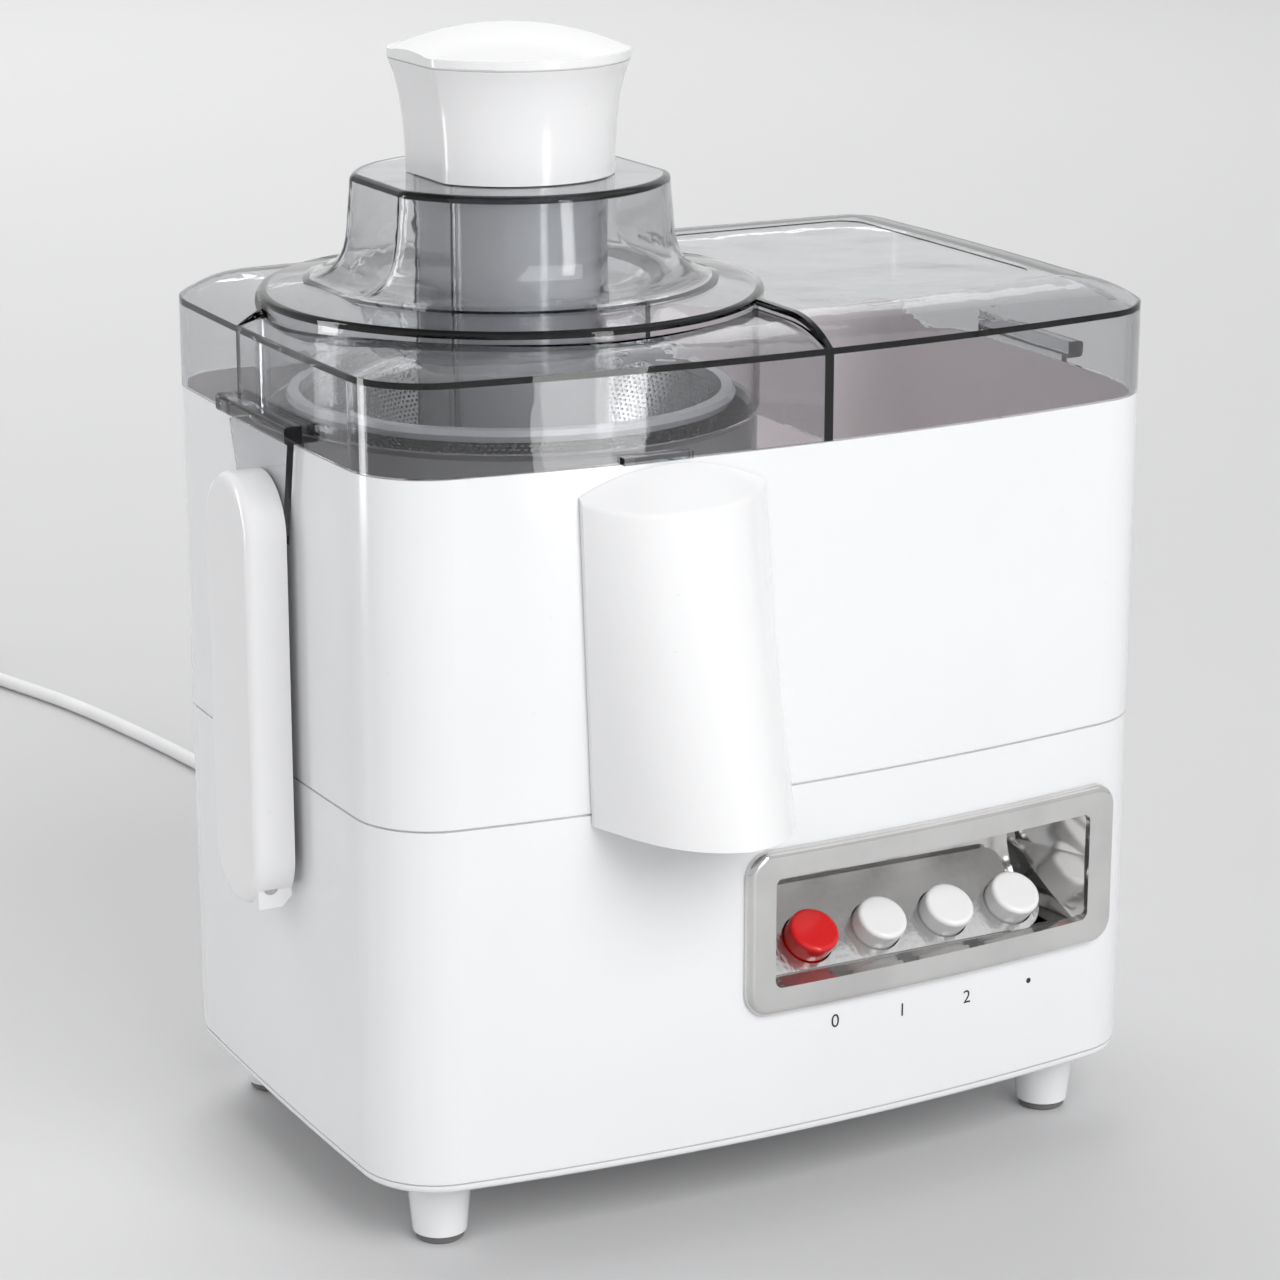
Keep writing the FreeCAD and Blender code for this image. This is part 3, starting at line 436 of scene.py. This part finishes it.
lead = {
    "diameter": 6.5 * mm,
    "route": [(-20, 150, 45), (-20, 177, 45), (-21, 208, 31), (-22, 242, 9), (-19, 289, 3.4),
              (-8, 349, 3.4), (-3, 413, 3.4), (-9, 476, 3.4), (-18, 534, 3.4), (-29, 590, 3.4),
              (-44, 638, 3.4)],
    "coilAt": (-97, 672),
    "perTurn": 16,
    "turns": [(39.6, 3.4), (32.2, 3.4), (36.0, 9.2)],     # radius and height of each turn
    "startAngle": 12.0,
    "lastTurn": 0.5,
    "tighten": 0.28,         # the share of a turn that leads over to the next
    "toPlug": {"at": (-108, 660), "radius": 27.6, "from": 205, "to": 350, "steps": 6,
               "low": 9.8, "high": 19.6},
    "plugFoot": (-81.0, 660.1, 20.2),
}


def coilPoints():
    # the turns run on from the route: out and low, then in and low, then up over both
    points = []
    count = lead["perTurn"]
    swell = 1 / math.cos(math.pi / count)
    cx, cy = lead["coilAt"]
    turns = lead["turns"]
    for number, (radius, height) in enumerate(turns):
        after = turns[min(number + 1, len(turns) - 1)]
        last = number == len(turns) - 1
        for step in range(int(lead["lastTurn"] * count) if last else count):
            share = max(0.0, 1 + (step / count - 1) / lead["tighten"])
            r = radius + (after[0] - radius) * share
            z = height + (after[1] - height) * share
            angle = math.radians(lead["startAngle"]) + 2 * math.pi * step / count
            points.append((cx + swell * r * math.cos(angle), cy + swell * r * math.sin(angle), z))
    return points


def plugPoints():
    # a wide arc off the coil, climbing to the plug
    arc = lead["toPlug"]
    cx, cy = arc["at"]
    points = []
    for step in range(arc["steps"]):
        share = step / (arc["steps"] - 1)
        angle = math.radians(arc["from"] + (arc["to"] - arc["from"]) * share)
        x = cx + arc["radius"] * math.cos(angle)
        y = cy + arc["radius"] * math.sin(angle)
        points.append((x, y, arc["low"] + (arc["high"] - arc["low"]) * share))
    return points


def makeLead():
    curve = bpy.data.curves.new("mainsLead", "CURVE")
    curve.dimensions = "3D"
    curve.bevel_depth = 0.5 * lead["diameter"]
    curve.bevel_resolution = 5
    curve.resolution_u = 8
    curve.use_fill_caps = True
    points = lead["route"] + coilPoints() + plugPoints() + [lead["plugFoot"]]
    spline = curve.splines.new("NURBS")
    spline.points.add(len(points) - 1)
    for point, place in zip(spline.points, points):
        point.co = (*(part * mm for part in place), 1)
    spline.order_u = 3
    spline.use_endpoint_u = True
    piece = bpy.data.objects.new("mainsLead", curve)
    bpy.context.collection.objects.link(piece)
    paint(piece, "cordWhite")
    return piece


mainsLead = makeLead()
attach(mainsLead, "root")
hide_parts("power_cord", "cord_coil")
print("lead laid")


# Return springs behind the buttons

# hole is where a button's axis meets the plate; from and to are distances along that axis
springs = {"across": [12.6, 40.1, 67.6, 95.1], "hole": (-61.52, 88.18), "lean": 45.0, "radius": 4.9,
           "wire": 0.45, "from": -17.8, "to": -7.8, "turns": 6, "perTurn": 16}


def makeSprings():
    curve = bpy.data.curves.new("returnSprings", "CURVE")
    curve.dimensions = "3D"
    curve.bevel_depth = springs["wire"] * mm
    curve.bevel_resolution = 3
    curve.use_fill_caps = True
    lean = math.radians(springs["lean"])
    inward = Vector((0, -math.cos(lean), math.sin(lean)))
    upward = Vector((0, math.sin(lean), math.cos(lean)))
    count = springs["turns"] * springs["perTurn"] + 1
    for x in springs["across"]:
        foot = Vector((x, *springs["hole"]))
        spline = curve.splines.new("POLY")
        spline.points.add(count - 1)
        for step, point in enumerate(spline.points):
            angle = 2 * math.pi * step / springs["perTurn"]
            along = springs["from"] + (springs["to"] - springs["from"]) * step / (count - 1)
            place = foot + inward * along + Vector((springs["radius"] * math.cos(angle), 0, 0))
            place += upward * springs["radius"] * math.sin(angle)
            point.co = (*(place * mm), 1)
    piece = bpy.data.objects.new("returnSprings", curve)
    bpy.context.collection.objects.link(piece)
    paint(piece, "springSteel")
    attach(piece, "root")
    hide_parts("button_springs")


makeSprings()
print("springs wound")


# Printed marks under the buttons

# each mark is its piece's name, its numeral, and where it is across and up the front
legend = {"marks": [("markOff", "0", 12.6, 64.4), ("markOne", "1", 40.1, 63.1), ("markTwo", "2", 67.7, 62.3)],
          "letterSize": 6.816, "dot": {"across": 95.2, "up": 62.7, "radius": 1.0, "sides": 28},
          "front": -81.0, "bow": 875.5, "proud": 0.03, "thick": 0.04}


def onFront(x, z):
    # where the bowed front is, and how far it turns away there
    y = legend["front"] + legend["bow"] - math.sqrt(legend["bow"] ** 2 - x ** 2) - legend["proud"]
    return Vector((x, y, z)) * mm, math.asin(x / legend["bow"])


def printed(name, curve, x, z):
    curve.extrude = 0.5 * legend["thick"] * mm
    holder = bpy.data.objects.new(name + "Curve", curve)
    bpy.context.collection.objects.link(holder)
    holder.location, turn = onFront(x, z)
    holder.rotation_euler = (math.radians(90), 0, turn)
    bpy.context.view_layer.update()
    seen = holder.evaluated_get(bpy.context.evaluated_depsgraph_get())
    mesh = bpy.data.meshes.new_from_object(seen)
    mesh.transform(holder.matrix_world)
    bpy.data.objects.remove(holder)
    piece = bpy.data.objects.new(name, mesh)
    bpy.context.collection.objects.link(piece)
    paint(piece, "legendInk")
    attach(piece, "root")


def printLegend():
    for name, letter, x, z in legend["marks"]:
        curve = bpy.data.curves.new(name, "FONT")
        curve.body = letter
        curve.size = legend["letterSize"] * mm
        curve.align_x = "CENTER"
        curve.align_y = "CENTER"
        printed(name, curve, x, z)
    dot = legend["dot"]
    curve = bpy.data.curves.new("markPulse", "CURVE")
    curve.dimensions = "2D"
    curve.fill_mode = "BOTH"
    ring = curve.splines.new("POLY")
    ring.points.add(dot["sides"] - 1)
    for step, point in enumerate(ring.points):
        angle = 2 * math.pi * step / len(ring.points)
        point.co = (dot["radius"] * mm * math.cos(angle), dot["radius"] * mm * math.sin(angle), 0, 1)
    ring.use_cyclic_u = True
    printed("markPulse", curve, dot["across"], dot["up"])


printLegend()
print("legend printed")


# Stage: a wide pale floor, soft boxes and an even room

floorLook = {"radius": 14.0, "colour": (0.62, 0.62, 0.625, 1), "rough": 0.5}
# washes light matt surfaces and don't show in glossy ones
washes = [
    {"name": "keyBox", "turn": 5, "up": 35, "far": 2.6, "size": (1.8, 1.6), "power": 46.0},
    {"name": "sideBox", "turn": -118, "up": 20, "far": 2.4, "size": (1.0, 1.6), "power": 4.4},
    {"name": "flankBox", "turn": -80, "up": 35, "far": 2.4, "size": (1.0, 1.6), "power": 5.0},
    {"name": "backBox", "at": (0.3, 2.2, 3.0), "aim": (0.3, 2.4, 0), "size": (3.0, 2.0), "power": 38.0},
    {"name": "farBox", "at": (0.6, 4.2, 3.4), "aim": (0.6, 4.6, 0), "size": (6.0, 3.0), "power": 130.0},
]
# cards only show in glossy surfaces
cards = [
    {"name": "behindCard", "turn": 152, "up": 22, "far": 4.0, "size": (6.0, 3.0), "power": 18.0},
    {"name": "overCard", "turn": 58, "up": 58, "far": 1.6, "size": (1.4, 1.4), "power": 3.2},
    {"name": "frontCard", "turn": 11, "up": 4, "far": 1.1, "size": (0.16, 1.3), "power": 3.2},
    {"name": "leftCard", "turn": -112, "up": 4, "far": 1.1, "size": (0.22, 1.3), "power": 6.0},
]
room = {"stops": [(0.55, (0.6, 0.603, 0.61, 1)), (0.88, (0.2, 0.2, 0.205, 1))], "strength": 1.0}


def addFloor():
    mesh = bpy.data.meshes.new("floor")
    sheet = bmesh.new()
    bmesh.ops.create_circle(sheet, cap_ends=True, segments=96, radius=floorLook["radius"])
    sheet.to_mesh(mesh)
    sheet.free()
    floor = bpy.data.objects.new("floor", mesh)
    bpy.context.collection.objects.link(floor)
    finish = Finish("floorPaper", {})
    finish.feed("Base Color", finish.mix(finish.noise(1.5, 3.0), floorLook["colour"], grey(0.61)))
    finish.feed("Roughness", finish.noise(25.0) * 0.06 + floorLook["rough"])
    finish.bump((finish.noise(900.0), 0.00003))
    mesh.materials.append(finish.material)


def addSoftBox(shine, name, size, power, turn=0, up=0, far=1, at=None, aim=(0, 0.03, 0.2)):
    # turn is degrees from the front towards the right, up is degrees above the aim
    swing, lift = math.radians(turn), math.radians(up)
    away = Vector((math.cos(lift) * math.sin(swing), -math.cos(lift) * math.cos(swing), math.sin(lift)))
    place = Vector(at) if at else Vector(aim) + far * away
    light = bpy.data.lights.new(name, "AREA")
    light.shape = "RECTANGLE"
    light.size, light.size_y = size
    light.energy = power
    box = bpy.data.objects.new(name, light)
    box.location = place
    box.rotation_euler = (Vector(aim) - place).to_track_quat("-Z", "Y").to_euler()
    box.visible_camera = False
    box.visible_diffuse = not shine
    box.visible_glossy = shine
    bpy.context.collection.objects.link(box)


def addRoom():
    # bright all round and dim overhead
    world = bpy.data.worlds.new("room")
    world.use_nodes = True
    sky = Graph(world.node_tree)
    up = sky.split(sky.add("ShaderNodeTexCoord", output="Generated"))[2]
    colour = sky.add("ShaderNodeValToRGB", {"stops": room["stops"]}, {"Fac": up})
    back = sky.tree.nodes["Background"]
    back.inputs["Strength"].default_value = room["strength"]
    sky.tree.links.new(colour.socket, back.inputs["Color"])
    bpy.context.scene.world = world


addFloor()
for values in washes:
    addSoftBox(False, **values)
for values in cards:
    addSoftBox(True, **values)
addRoom()
bpy.context.scene.view_settings.view_transform = "Standard"
print("stage set")

bpy.context.view_layer.update()
